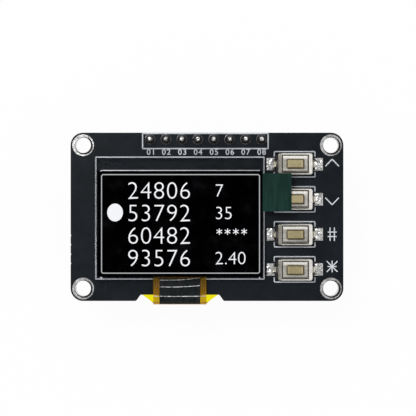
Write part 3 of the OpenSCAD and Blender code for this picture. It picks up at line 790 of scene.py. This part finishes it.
# %% [markdown]
# ## Numbers
#
# Blender's own typeface draws the figures. A text object is turned into a mesh straight away, which is
# scaled to the height that is asked for and moved into place in the mesh itself.


# %% Figures from a text object
def raw_figures(text, thick=0.0, weight=0.0, spacing=1.0):
    """A mesh of the text as the typeface gives it; weight makes its lines bolder."""
    curve = bpy.data.curves.new("figures", "FONT")
    curve.body = text
    curve.space_character = spacing
    curve.resolution_u = 4
    curve.extrude = thick / 2
    curve.offset = weight
    holder = new_object("figures", curve)
    mesh = baked(holder)
    bpy.data.objects.remove(holder)
    return mesh


FIGURE_H = max(v.co.y for v in raw_figures("7").vertices)


def text_mesh(text, height, left=0.0, foot=0.0, z=0.0, weight=0.0, spacing=1.0):
    """Solid figures height mm tall whose lower left corner is at (left, foot)."""
    mesh = raw_figures(text, INK_H, weight, spacing)
    scale = height / FIGURE_H
    for vertex in mesh.vertices:
        x, y, depth = vertex.co
        vertex.co = Vector((left + x * scale, foot + y * scale, z + depth)) * MM
    return mesh


def width_of(mesh):
    across = [v.co.x / MM for v in mesh.vertices]
    return max(across) - min(across)


def show_meshes(name, meshes, finish):
    """One piece made of several meshes."""
    whole = bmesh.new()
    for mesh in meshes:
        whole.from_mesh(mesh)
    return show_bmesh(name, whole, finish)


print("a figure at size 1 is", round(FIGURE_H, 3), "tall")

# %% Pin numbers under the header
NUMBER = {"height": 0.88, "spacing": 1.2}
number_foot = glass_high.y + 0.5
numbers = []
for i, pin in enumerate(pins, start=1):
    text = f"{i:02d}"
    left = pin.x - width_of(text_mesh(text, **NUMBER)) / 2
    numbers.append(text_mesh(text, left=left, foot=number_foot, z=ink_z, weight=0.008, **NUMBER))
show_meshes("printed_pin_numbers", numbers, ink)

# %% [markdown]
# ## What the display shows
#
# A frame with cut corners, a round cursor beside the second row, and four rows, each with a long number and
# a short value. Stars hide the third value.

# %% Lit frame of the display
CUT = 0.2
lit_z = SCREEN + 0.02
lit_left, lit_right = film_low.x + 0.63, film_high.x - 0.35
lit_low, lit_high = film_low.y + 0.57, film_high.y - 0.7
lit_frame = [
    (lit_left + CUT, lit_low), (lit_right - CUT, lit_low), (lit_right, lit_low + CUT),
    (lit_right, lit_high - CUT), (lit_right - CUT, lit_high), (lit_left + CUT, lit_high),
    (lit_left, lit_high - CUT), (lit_left, lit_low + CUT), (lit_left + CUT, lit_low),
]
ribbons("lit_frame", [lit_frame], soft_glow, "glass", lit_z, width=0.15, corner=0.02)

# %% Rows of figures
ROWS = (("24806", "7"), ("53792", "35"), ("60482", ""), ("93576", "2.40"))
FIRST_ROW = 4.19  # the middle of the top row
ROW_PITCH = 3.57
LABEL_X, LABEL_H = -12.7, 2.7
VALUE_X, VALUE_H = 1.2, 2.0
lit_figures = []
for i, (label, value) in enumerate(ROWS):
    middle = FIRST_ROW - i * ROW_PITCH
    lit_figures.append(text_mesh(label, LABEL_H, LABEL_X, middle - LABEL_H / 2, lit_z, -0.018, 1.04))
    if value:
        lit_figures.append(text_mesh(value, VALUE_H, VALUE_X, middle - VALUE_H / 2, lit_z, -0.016))
show_meshes("lit_figures", lit_figures, bright_glow)

# %% Stars for the hidden value, and the cursor
STAR_X, STAR_PITCH = 1.95, 1.31
star_y = FIRST_ROW - 2 * ROW_PITCH + 0.62
stars = []
for i in range(4):
    for j, stroke in enumerate(star_strokes(0.5, (90, 150, 210))):
        lifted = lit_z + j * STROKE_LIFT
        stars.append([(STAR_X + STAR_PITCH * i + x, star_y + y, lifted) for x, y in stroke])
ribbons("lit_stars", stars, bright_glow, "glass", width=0.13)


def add_disc(shape, x, y, z, radius_x, radius_y, sides=48):
    """Adds a plate as thick as the ink; three sides make it a triangle."""
    plate = bmesh.ops.create_cone(shape, cap_ends=True, segments=sides, radius1=1, radius2=1, depth=INK_H)
    for vertex in plate["verts"]:
        a, b, c = vertex.co
        vertex.co = Vector((x + a * radius_x, y + b * radius_y, z + INK_H / 2 + c)) * MM


CURSOR_X = -14.56
CURSOR_R = (1.25, 1.41)
cursor = bmesh.new()
add_disc(cursor, CURSOR_X, FIRST_ROW - ROW_PITCH + 0.08, lit_z - INK_H / 2, *CURSOR_R)
show_bmesh("lit_cursor", cursor, bright_glow)

# %% [markdown]
# ## Small marks at the display's edges
#
# The polarizer's upper edge was cut with a knife, and the cut catches the light as a thin pale line that
# fades to the right. Two little printed triangles show where the display's corners go.

# %% Pale cut edge
f = Finish("cut_film_edge")
along = f.axis("X").ramp(film_low.x * MM, film_high.x * MM)
chips = f.noise(0.6).ramp(0.3, 0.7)
shade = (along * 0.7 + chips * 0.3).clamped()
cut_edge = f.finished(
    Base_Color=f.blend(shade, tone(222, 224, 228), tone(166, 168, 174)),
    Roughness=chips * 0.2 + 0.4,
    Normal=f.bump(chips, 0.02),
)

EDGE_H = 0.03
SLANT = Vector((0.14, 0.16))
edge_y = film_high.y - 0.04
edge_left = film_low.x + 0.6
edge_line = [(edge_left - SLANT.x, edge_y - SLANT.y), (edge_left, edge_y), (film_high.x - 0.3, edge_y)]
ribbons(
    "polarizer_cut_edge", [edge_line], cut_edge, "polarizer",
    SCREEN + EDGE_H / 2, width=0.13, height=EDGE_H, corner=0.001,
)

# %% Corner ticks
TICKS = ((-16.9, 0.3), (8.4, 0.24))  # place along the line, and size
tick_y = glass_low.y - 0.02
ticks = bmesh.new()
for x, r in TICKS:
    add_disc(ticks, x, tick_y + r * 0.5, FACE, r, r, 3)
show_bmesh("printed_ticks", ticks, ink)

# %% [markdown]
# ## Round the sharp edges of the steel and the plastic
#
# It is the small rounded edge of a pressed cover or a moulded button that catches the light. So a copy of
# the part is welded, because a CAD node is loose triangles, its flat faces are joined again, and its sharp
# edges are bevelled. The copy then stands for the CAD part.


# %% Softened copies
def welded(name):
    """A CAD node's mesh as a bmesh whose triangles share their corners."""
    copy = bmesh.new()
    copy.from_mesh(nodes[name].data)
    bmesh.ops.remove_doubles(copy, verts=copy.verts, dist=0.0005 * MM)
    return copy


def stand_in(name, copy, finish):
    """Show the copy in place of the CAD node it was made from, on the same body."""
    piece = show_bmesh("soft_" + name, copy, finish, nodes[name]["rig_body"])
    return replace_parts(piece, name)


SHARP = math.radians(35)


def softened(name, radius, finish):
    """A copy of the CAD node with its edges rounded to radius mm, shown in its place."""
    copy = welded(name)
    bmesh.ops.dissolve_limit(copy, angle_limit=math.radians(0.5), verts=copy.verts, edges=copy.edges)
    edges = [e for e in copy.edges if len(e.link_faces) == 2 and e.calc_face_angle() > SHARP]
    bmesh.ops.bevel(
        copy, geom=edges, offset=radius * MM, offset_type="OFFSET", segments=3, profile=0.5,
        affect="EDGES", clamp_overlap=False,
    )
    return stand_in(name, copy, finish)


for key in KEYS:
    softened(f"key_{key}_cover", 0.045, stamped_steel)
    softened(f"key_{key}_plunger", 0.05, button)

# %% [markdown]
# The snap dome under each button is a thin spring. A welded copy of it, with a mesh of its own, stands in
# its place.

# %% Snap domes
for key in KEYS:
    name = f"key_{key}_dome"
    dome = stand_in(name, welded(name), spring_steel)
    middle = middle_of(name)
    low, high = span(name)
    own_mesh(dome)

# %% [markdown]
# The clear film lies on the polarizer. Two faces in one plane confuse the rays, and the screen would turn
# patchy, so the film's copy is a hair thinner underneath.

# %% A hair of air under the clear film
AIR = 0.01
film_copy = welded("protective_film")
under = [corner for corner in film_copy.verts if corner.co.z < middle_of("protective_film").z * MM]
for corner in under:
    corner.co.z += AIR * MM
stand_in("protective_film", film_copy, clear_film)
print("lifted", len(under), "corners of the film by", AIR, "mm")

# %% [markdown]
# ## Solder on the key pads and the pin tips
#
# Each key stands on two pads of lumpy, faceted solder. A pad is a small grid, repeated and then pushed up
# by a pillow shape times a cellular noise. The noise reads the place in the model, so every pad differs,
# yet nothing is random between two runs. The solder is thin beside the cover, where the lead comes out.


# %% Lumpy pads
def pad_tree():
    g = Growth("solder_pads", length=1.5 * MM, width=2.1 * MM, height=0.3 * MM, middle=0.0, inner=0.0)
    length, width = g.given("length"), g.given("width")
    vectors = {"data_type": "FLOAT_VECTOR"}
    note = {"settings": {**vectors, "domain": "POINT"}, "Name": "local", "Value": g.place()}
    grid = g.node("GeometryNodeMeshGrid", length, width, 22, 30)
    real = g.spread(g.node("GeometryNodeStoreNamedAttribute", grid, **note))
    local = g.node("GeometryNodeInputNamedAttribute", settings=vectors, Name="local")
    u = g.math("DIVIDE", abs(g.part(local, "X")) * 2, length)
    v = g.math("DIVIDE", abs(g.part(local, "Y")) * 2, width)
    pillow = (1 - g.math("POWER", u, 14.0)) * (1 - g.math("POWER", v, 14.0))
    from_lead = abs(g.part(g.place(), "X") - g.given("middle")) - g.given("inner")
    lean = (from_lead * (1 / MM)).ramp(0.0, 0.6, 0.7, 1.0)
    lumps = 0.5 + g.cells(0.62, "F1") * 0.22 + g.noise(0.5, detail=2.0) * 0.35
    offset = g.node("ShaderNodeCombineXYZ", Z=pillow * lean * lumps * g.given("height"))
    both = g.node("GeometryNodeJoinGeometry")
    top = g.node("GeometryNodeSetPosition", real, Offset=offset)
    for sheet in (g.node("GeometryNodeFlipFaces", real), top):
        g.feed(both.socket.node.inputs[0], sheet)
    return g.close(g.node("GeometryNodeMergeByDistance", both, Distance=0.0005 * MM))


PADS = pad_tree()
LEAD = 3.05  # from the middle of a key to the inner end of its pads
for key, centre in zip(KEYS, key_centres):
    low, high = span(f"key_{key}_solder")
    half = (high.x - low.x) / 2
    length = half - LEAD
    middle_x = (low.x + high.x) / 2
    reach = half - length / 2
    spots = [(middle_x + side * reach, centre.y, FACE + 0.005) for side in (-1, 1)]
    pads = grow(
        f"key_{key}_pad_solder", PADS, new_mesh("pad_spots", spots), solder, "solder",
        length=length, width=high.y - low.y, height=0.34, middle=middle_x, inner=LEAD,
    )
    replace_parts(pads, f"key_{key}_solder")

# %% [markdown]
# The cut tips of the pins carry bright, crooked caps of solder: a small ball, repeated at every pin and
# pushed about by noise.


# %% Caps
def cap_tree():
    g = Growth("pin_caps", radius=0.31 * MM, wobble=0.34 * MM)
    ball = g.node("GeometryNodeMeshIcoSphere", Radius=g.given("radius"), Subdivisions=4)
    flat = g.node("GeometryNodeTransform", ball, Scale=(1.0, 1.0, 0.55))
    lumps = g.noise(0.45, detail=2.0, output="Color")
    push = g.node("ShaderNodeVectorMath", lumps, (0.5, 0.5, 0.5), settings={"operation": "SUBTRACT"})
    push = g.node("ShaderNodeVectorMath", push, settings={"operation": "SCALE"}, Scale=g.given("wobble"))
    moved = g.node("GeometryNodeSetPosition", g.spread(flat), Offset=push)
    return g.close(g.node("GeometryNodeSetShadeSmooth", moved))


cap_z = span("header_pin_1")[1].z - 0.08
tips = new_mesh("pin_tips", [(pin.x, pin.y, cap_z) for pin in pins])
grow("pin_solder_caps", cap_tree(), tips, solder, "solder")

# %% [markdown]
# ## Highlights on the creases of the cable's cover
#
# Each fold of the black cover catches the light, and its highlight is painted: a thin pale ribbon laid on
# the cable. `on_top` drops a ray onto the CAD parts to find how high they are. Noise breaks it up.


# %% Painted highlights on the creases
def on_top(names):
    """A function for the height in mm of these CAD parts at (x, y) mm."""
    shapes = [BVHTree.FromBMesh(welded(name)) for name in names]

    def height(x, y):
        hits = [shape.ray_cast(Vector((x, y, 20)) * MM, Vector((0, 0, -1)))[0] for shape in shapes]
        return max(hit.z for hit in hits if hit) / MM
    return height


f = Finish("painted_crease_highlight")
breaks = f.noise(0.5, detail=4.0)
# painted highlight: a pale film on the creases, broken by noise into see-through gaps
pale = f.principled(
    Base_Color=f.blend(breaks.ramp(0.3, 0.7), tone(130, 132, 134), tone(244, 245, 246)),
    Roughness=0.35,
)
crease_highlight_finish = f.show(f.mixed(breaks.ramp(0.29, 0.42), f.clear(), pale))

cover_low, cover_high = span("flex_cover")
cable_top = on_top(["flex_cover", "flex_cable"])
NECK_WIDER = 0.99  # the cable's neck stands out beside the cover
CREASES = (  # reach beyond the cover's sides, height at the left, rise to the right
    (-0.05, -10.06, 0.36),
    (-0.05, -11.14, 0.2),
    (NECK_WIDER - 0.05, -12.62, 0.02),
)
STEPS = 28
BOW = 0.05
highlight_lines = []
for beyond, y, rise in CREASES:
    left, right = cover_low.x - beyond, cover_high.x + beyond
    line = []
    for i in range(STEPS + 1):
        t = i / STEPS
        x = left + (right - left) * t
        bowed = y + rise * t * t - BOW * math.sin(math.pi * t)
        line.append((x, bowed, cable_top(x, bowed) + 0.012))
    highlight_lines.append(line)
ribbons("cable_creases", highlight_lines, crease_highlight_finish, "black_film", width=0.1, corner=0.001)

# %% [markdown]
# ## The back: frames, numbers and tracks
#
# Every chip has a printed frame, measured from the chip itself: `islands` finds the separate solids in a
# CAD node. The copper tracks under the mask show as low ridges.


# %% Where the chips are
def islands(name):
    """The boxes (low, high) in mm of the separate solids in a CAD node."""
    copy = welded(name)
    waiting = set(copy.verts)
    boxes = []
    while waiting:
        group, fringe = [], [waiting.pop()]
        while fringe:
            vertex = fringe.pop()
            group.append(vertex.co / MM)
            near = {e.other_vert(vertex) for e in vertex.link_edges} & waiting
            waiting -= near
            fringe += near
        boxes.append([Vector(map(pick, zip(*group))) for pick in (min, max)])
    return boxes


CHIP_GAP = 0.28
END_GAP = 0.34  # as much again at the ends, for the solder
PACKAGE_GAP = Vector((0.3, 0.3, 0))
chips = []
for low, high in islands("capacitor_bodies") + islands("resistor_bodies"):
    gap = Vector((CHIP_GAP, CHIP_GAP, 0))
    gap[0 if high.x - low.x > high.y - low.y else 1] += END_GAP
    chips.append((low - gap, high + gap))
for kind in ("regulator", "diode"):
    lows, highs = zip(span(kind + "_body"), span(kind + "_leads"))
    chips.append((Vector(map(min, *lows)) - PACKAGE_GAP, Vector(map(max, *highs)) + PACKAGE_GAP))
print(len(chips), "chips on the back")

# %% Frames round the chips and the header
back_z = -INK_H / 2
back_frames = [box_line(low, high) for low, high in chips]
back_frames.append(box_line(header_low - Vector((0, 0.05, 0)), header_high - Vector((0, 0.03, 0))))
ribbons("back_frames", back_frames, ink, "solder_mask", back_z, width=0.16, corner=0.1)

# %% Numbers on the back
back_foot = pins[0].y - 2.95
back_numbers = []
for i, pin in enumerate(pins, start=1):
    mesh = text_mesh(str(i), 0.95, foot=back_foot, weight=0.012)
    middle = width_of(mesh) / 2
    for vertex in mesh.vertices:
        vertex.co.x = (pin.x + middle) * MM - vertex.co.x
        vertex.co.z = back_z * MM - vertex.co.z
    back_numbers.append(mesh)
show_meshes("back_pin_numbers", back_numbers, ink)

# %% Copper tracks
TRACK_H = 0.024
BELOW_PIN = 0.95  # a track starts at the edge of the pin's solder
PIN_PITCH_HALF = 1.27
BEND_Y, END_Y = 8.7, -5.6  # the tracks of the left pins
FIRST_KEY_BENDS = [(pins[-1].x, 9.9), (10.2, 8.4)]
FAN_Y = 8.2  # where the tracks of the other pins spread
CHAMFER = 0.7
KEY_VIA_X = 17.4
LANES = ((6.6, 1.2), (4.1, -2.0), (0.6, -7.0))  # x of the lane, and the y where it turns toward its key
starts = [(pin.x, pin.y - BELOW_PIN) for pin in pins]
tracks = []
for i, pin in enumerate(pins[:4]):
    lane = pin.x - PIN_PITCH_HALF
    tracks.append([starts[i], (pin.x, BEND_Y), (lane, BEND_Y - PIN_PITCH_HALF), (lane, END_Y - 0.25 * i)])
tracks.append([starts[-1], *FIRST_KEY_BENDS, (KEY_VIA_X, key_centres[0].y)])
for start, key, (lane, turn_y) in zip(starts[6:3:-1], key_centres[1:], LANES):
    toward = KEY_VIA_X - abs(key.y - turn_y)
    tracks.append([
        start, (start[0], FAN_Y), (lane, FAN_Y - abs(start[0] - lane)), (lane, turn_y + CHAMFER),
        (lane + CHAMFER, turn_y), (toward, turn_y), (KEY_VIA_X, key.y),
    ])
ribbons(
    "back_tracks", tracks, mask_over_copper, "solder_mask",
    -TRACK_H / 2 + 0.006, width=0.26, height=TRACK_H, corner=0.3,
)


# %% Vias at the ends of the tracks
def via_tree():
    g = Growth("vias", radius=0.24 * MM, wall=0.09 * MM)
    circle = g.node("GeometryNodeCurvePrimitiveCircle", Radius=g.given("radius"), Resolution=24)
    section = g.node("GeometryNodeCurvePrimitiveCircle", Radius=g.given("wall"), Resolution=8)
    ring = g.node("GeometryNodeCurveToMesh", circle, Profile_Curve=section)
    return g.close(g.spread(g.node("GeometryNodeTransform", ring, Scale=(1.0, 1.0, 0.4))))


ends = new_mesh("via_spots", [(*line[-1], 0.0) for line in tracks])
grow("back_vias", via_tree(), ends, tin, "tin")

# %% [markdown]
# ## Copper in the cable
#
# Copper lines run from the joints of the cable's tail to its neck, and then round the fold to the glass, on a
# circle whose middle and radius come from the cable's box.

# %% Copper lines of the cable
COPPER_H = 0.016
TAIL_Y = -10.2  # the lines close in from here
BEND_STEPS, STEP_ANGLE = 24, 5
copper = metal_finish("etched_copper", (0.6, 0.36, 0.16), (0.86, 0.56, 0.28), (0.3, 0.45), 0.3)
cable_low, cable_high = span("flex_cable")
joints = sorted(islands("flex_solder"), key=lambda box: box[0].x)
cable_mid = (cable_low.x + cable_high.x) / 2
tail_half = (joints[-1][1].x - joints[0][0].x) / 2
neck_half = (cover_high.x - cover_low.x) / 2 - 0.15
fold_r = (glass_low.z - cable_low.z) / 2
fold_y = cable_low.y + fold_r
fold_z = cable_low.z + fold_r
copper_lines = []
for low, high in joints:
    joint_x = (low.x + high.x) / 2
    neck_x = cable_mid + (joint_x - cable_mid) * neck_half / tail_half
    flat_part = ((joint_x, low.y + 0.2), (joint_x, TAIL_Y), (neck_x, fold_y))
    line = [(x, y, cable_low.z) for x, y in flat_part]
    for step in range(1, BEND_STEPS + 1):
        turn = math.radians(-90 + step * STEP_ANGLE)
        r = fold_r - COPPER_H / 2 * math.cos(turn) ** 2  # sunk at the front, so the box doesn't grow
        line.append((neck_x, fold_y - r * math.cos(turn), fold_z + r * math.sin(turn)))
    copper_lines.append(line)
ribbons("cable_copper", copper_lines, copper, "polyimide", width=0.1, height=COPPER_H, corner=0.001)
print("fold: middle y", round(fold_y, 3), "z", round(fold_z, 3), "radius", round(fold_r, 3))

# %% [markdown]
# ## Stage, light and camera
#
# The floor lies at the height of the pin tips. It glows white for the camera and for mirrors and glass, and
# is an ordinary pale floor for all other light, so it keeps the shadow. The sky is dim overhead and bright
# at the horizon, and two soft lamps model the solder and the steel.

# %% Floor
f = Finish("white_floor")
paper = f.principled(Base_Color=(0.92, 0.92, 0.92), Roughness=0.9, Specular_IOR_Level=0.1)
white = f.node("ShaderNodeEmission", (1.0, 1.0, 1.0), Strength=1.0)
kinds = ("Camera", "Glossy", "Transmission")
seen = sum(f.node("ShaderNodeLightPath", output=f"Is {kind} Ray") for kind in kinds).clamped()
top = f.mixed(seen * 0.95, paper, white)
below = f.node("ShaderNodeNewGeometry", output="Backfacing")
white_floor = f.show(f.mixed(below, top, f.clear()))

FLOOR_HALF = Vector((1500, 1500))
floor_z = span("header_pin_1")[0].z
corners = [(x, y, floor_z) for x, y in box_line(-FLOOR_HALF, FLOOR_HALF)[:4]]
floor = new_object("floor", new_mesh("floor", corners, faces=[(0, 1, 2, 3)]))
paint(floor, white_floor)

# %% Sky
sky = Finish("studio", bpy.data.worlds, "ShaderNodeOutputWorld")
level = sky.axis("Z", "Generated").ramp(0.15, 0.8, 1.0, 0.4)
seen = sky.node("ShaderNodeLightPath", output="Is Camera Ray")
strength = seen + (1 - seen) * level
bpy.context.scene.world = sky.show(sky.node("ShaderNodeBackground", (1.0, 1.0, 1.0), Strength=strength))


# %% Lamps
def soft_lamp(name, place, size, power):
    """A square lamp that shines toward the middle of the module."""
    lamp = bpy.data.lights.new(name, "AREA")
    lamp.size = size
    lamp.energy = power
    holder = new_object(name, lamp)
    holder.location = place
    holder.rotation_euler = (-Vector(place)).to_track_quat("-Z", "Y").to_euler()


soft_lamp("key_lamp", (-0.16, 0.2, 0.45), 0.14, 1.15)
soft_lamp("fill_lamp", (0.35, -0.1, 0.4), 0.3, 0.4)

# %% Camera
VIEW_H = 0.18
VIEW_WIDTH = 66.5 * MM
camera = bpy.data.cameras.new("camera")
camera.angle = 2 * math.atan(VIEW_WIDTH / 2 / VIEW_H)
camera.clip_start = 0.001
camera_object = new_object("camera", camera)
camera_object.location = (0.16 * MM, 1.41 * MM, FACE * MM + VIEW_H)
bpy.context.scene.camera = camera_object
bpy.context.scene.view_settings.view_transform = "Standard"
print("camera angle", round(math.degrees(camera.angle), 2), "degrees")
